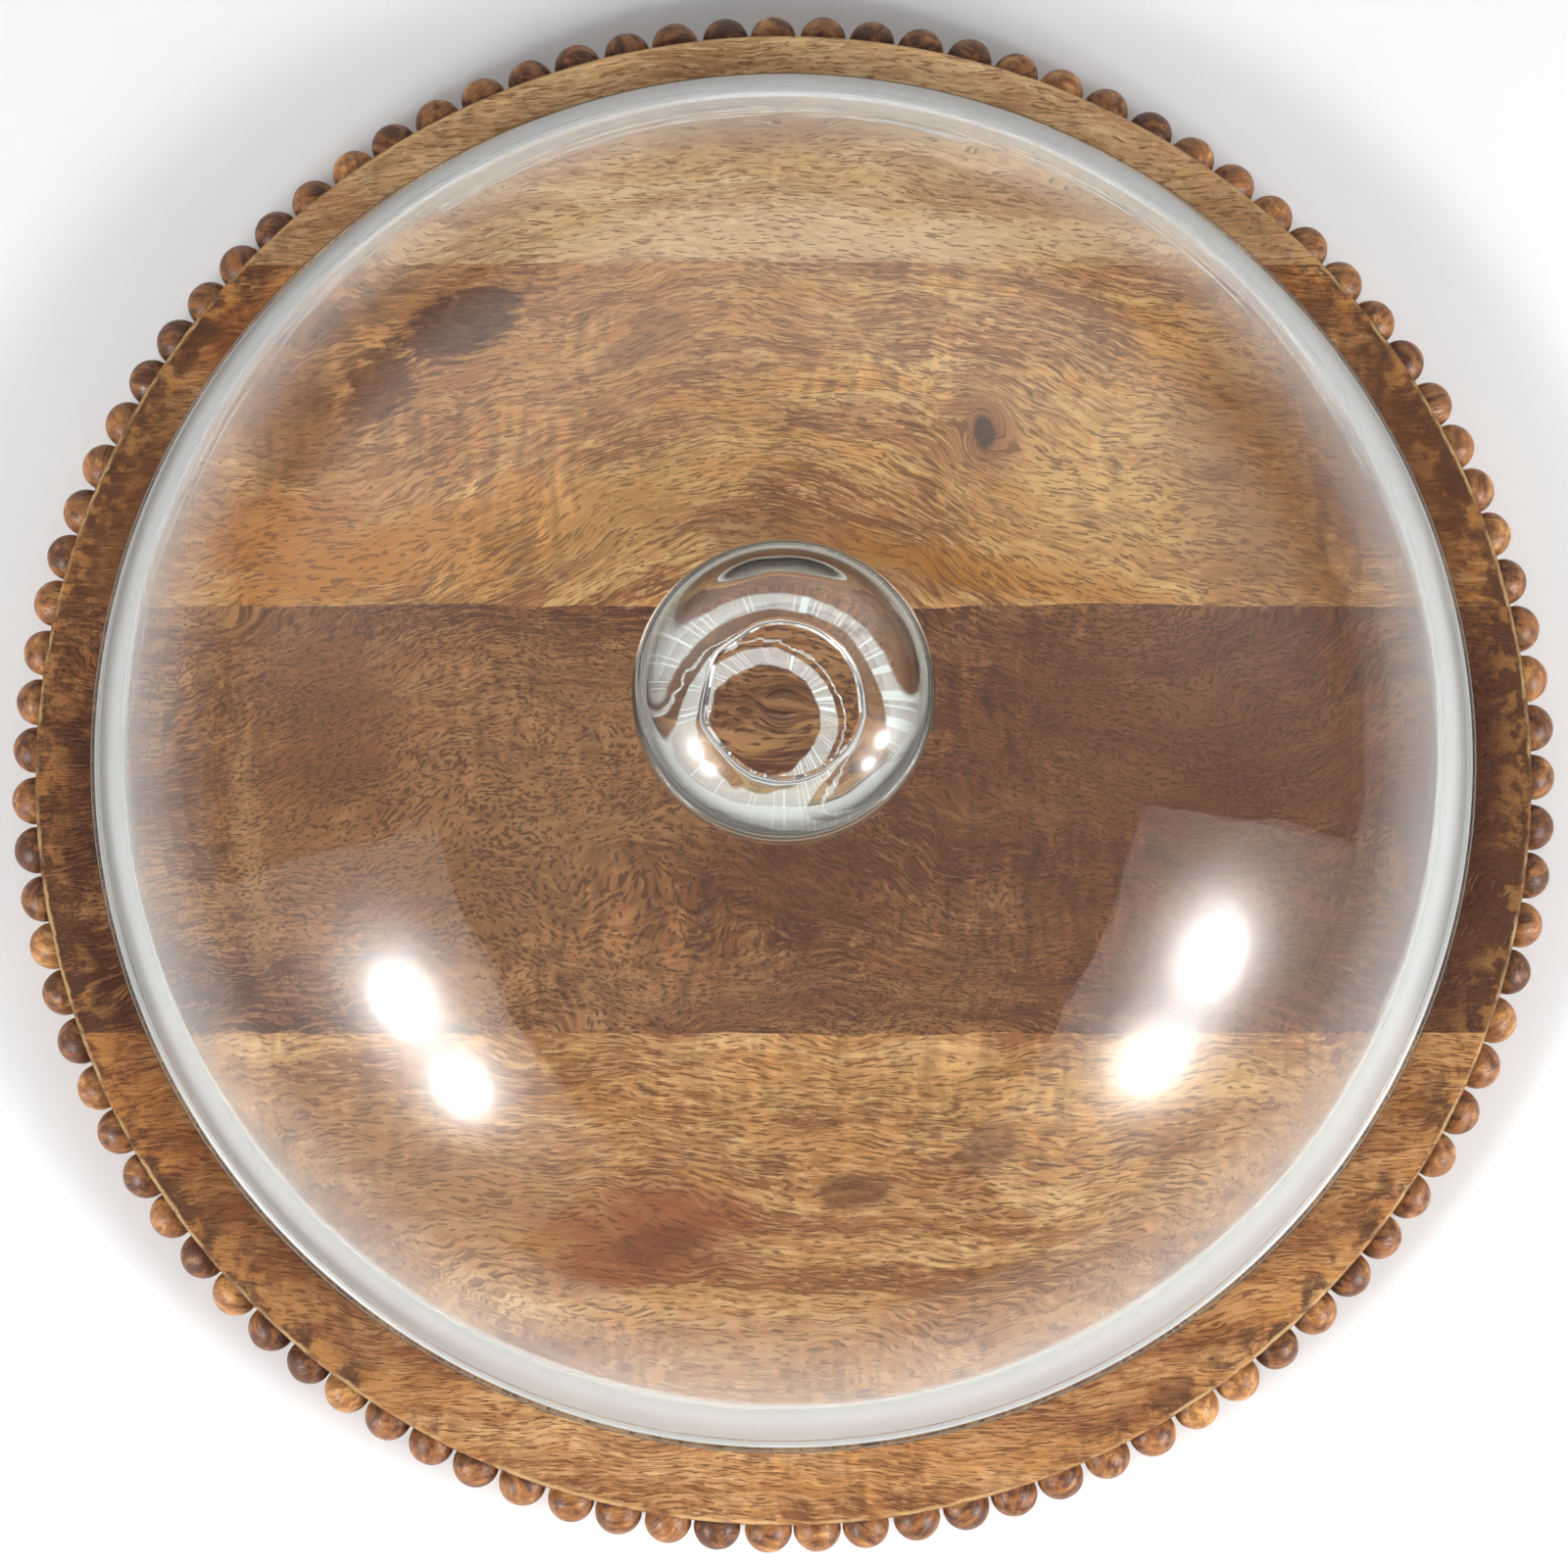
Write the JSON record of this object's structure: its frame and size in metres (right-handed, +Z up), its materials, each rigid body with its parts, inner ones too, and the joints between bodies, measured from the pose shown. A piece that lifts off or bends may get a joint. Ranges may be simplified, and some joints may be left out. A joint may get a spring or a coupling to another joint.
{
  "type": "cheese dome",
  "caption": "Round beaded wooden serving board with a lift-off clear glass dome and knob, for serving and covering cheese or cake.",
  "frame": {"origin": "middle of the board's underside, on the table, at the middle of the object's footprint", "axes": "+Z up, the way the dome lifts; +X along the planks and their grain; -Y towards the front"},
  "size_m": [0.3046, 0.3047, 0.1561],
  "materials": {
    "light_tan_wood": "oiled, satin",
    "honey_wood": "oiled, satin",
    "dark_brown_wood": "oiled, satin",
    "golden_wood": "oiled, satin",
    "stained_bead_wood": "stained and waxed, satin",
    "clear_glass": "clear, polished"
  },
  "bodies": {
    "board": {"plank_1": "light_tan_wood", "plank_2": "honey_wood", "plank_3": "dark_brown_wood", "plank_4": "golden_wood", "edge_beads_01": "stained_bead_wood", "edge_beads_02": "stained_bead_wood", "edge_beads_03": "stained_bead_wood", "edge_beads_04": "stained_bead_wood", "edge_beads_05": "stained_bead_wood", "edge_beads_06": "stained_bead_wood", "edge_beads_07": "stained_bead_wood", "edge_beads_08": "stained_bead_wood", "edge_beads_09": "stained_bead_wood", "edge_beads_10": "stained_bead_wood", "edge_beads_11": "stained_bead_wood", "edge_beads_12": "stained_bead_wood", "edge_beads_13": "stained_bead_wood", "edge_beads_14": "stained_bead_wood", "edge_beads_15": "stained_bead_wood", "edge_beads_16": "stained_bead_wood", "edge_beads_17": "stained_bead_wood", "edge_beads_18": "stained_bead_wood", "edge_beads_19": "stained_bead_wood"},
    "cloche": {"glass_dome": "clear_glass", "glass_knob": "clear_glass"}
  },
  "joints": [
    {"name": "cloche_lift", "type": "slide", "parent": "board", "child": "cloche", "axis": [0, 0, 1], "range_m": [0, 0.2]}
  ]
}
